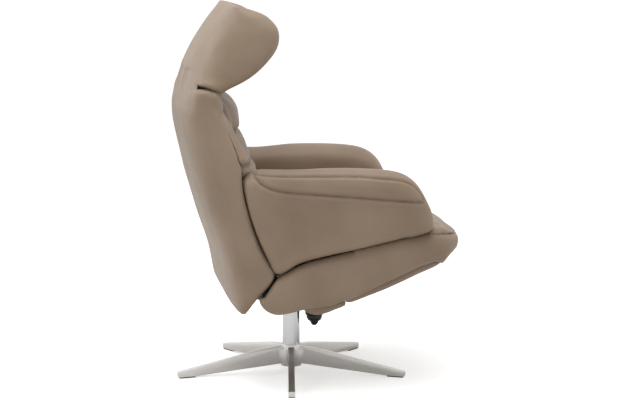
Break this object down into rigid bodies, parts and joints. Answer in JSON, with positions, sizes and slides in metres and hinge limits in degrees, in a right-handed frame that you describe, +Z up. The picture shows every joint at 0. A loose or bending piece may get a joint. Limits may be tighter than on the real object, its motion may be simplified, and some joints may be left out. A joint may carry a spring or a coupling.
{
  "type": "star base swivel recliner",
  "caption": "Leather recliner with padded arms, quilted back, wing headrest and fold-out leg rest, on a column and a flat-bladed star base",
  "frame": {"origin": "on the floor, in the middle of the chair's width and depth; the swivel axis stands 55 mm behind it", "axes": "+Z up, -Y the way the chair faces, +X the sitter's left side"},
  "size_m": [0.7392, 0.7963, 1.094],
  "materials": {
    "satin_base": "satin",
    "glide_plastic": "matte",
    "column_chrome": "polished",
    "bush_nylon": "matte",
    "bright_steel": "satin",
    "black_steel": "satin",
    "birch_plywood": "matte",
    "taupe_leather": "satin",
    "black_nylon": "matte"
  },
  "bodies": {
    "base": {"star_base": "satin_base", "foot_glides": "glide_plastic", "column_tube": "column_chrome", "column_bushes": "bush_nylon", "thrust_washer": "bush_nylon"},
    "seat": {"spindle": "bright_steel", "retaining_ring": "bright_steel", "seat_plate": "black_steel", "plate_bolts": "bright_steel", "mechanism_housing": "black_steel", "side_rail_left": "black_steel", "side_rail_right": "black_steel", "front_crossbar": "black_steel", "rear_crossbar": "black_steel", "recline_shaft": "bright_steel", "leg_rest_pins": "bright_steel", "seat_deck": "birch_plywood", "seat_body": "taupe_leather", "seat_cushion": "taupe_leather", "arm_left": "taupe_leather", "arm_right": "taupe_leather", "arm_brackets": "black_steel", "arm_bolts": "bright_steel", "underside_cover": "taupe_leather"},
    "knob": {"tension_knob": "black_nylon", "knob_stem": "bright_steel"},
    "back": {"back_shell": "taupe_leather", "back_cushion": "taupe_leather", "back_frame": "black_steel", "back_hinge_plates": "black_steel", "headrest_bracket": "black_steel", "headrest_pin": "bright_steel"},
    "headrest": {"headrest_pad": "taupe_leather", "headrest_plate": "black_steel"},
    "leg_rest": {"leg_rest_pad": "taupe_leather", "leg_rest_board": "birch_plywood", "leg_rest_arms": "black_steel"}
  },
  "joints": [
    {"name": "seat_swivel", "type": "hinge", "parent": "base", "child": "seat", "pos_m": [0, 0.055, 0.24], "axis": [0, 0, 1], "continuous": true},
    {"name": "back_recline", "type": "hinge", "parent": "seat", "child": "back", "pos_m": [0, 0.185, 0.28], "axis": [-1, 0, 0], "range_deg": [0, 28]},
    {"name": "leg_rest_fold", "type": "hinge", "parent": "seat", "child": "leg_rest", "pos_m": [0, -0.333, 0.36604], "axis": [-1, 0, 0], "range_deg": [0, 133]},
    {"name": "headrest_tilt", "type": "hinge", "parent": "back", "child": "headrest", "pos_m": [0, 0.363, 0.83775], "axis": [-1, 0, 0], "range_deg": [0, 20]},
    {"name": "tension_knob_turn", "type": "hinge", "parent": "seat", "child": "knob", "pos_m": [0, -0.014, 0.2], "axis": [0, 0, 1], "range_deg": [0, 720]}
  ],
  "couplings": [
    {"joint": "leg_rest_fold", "follows": "back_recline", "ratio": 4.75}
  ]
}
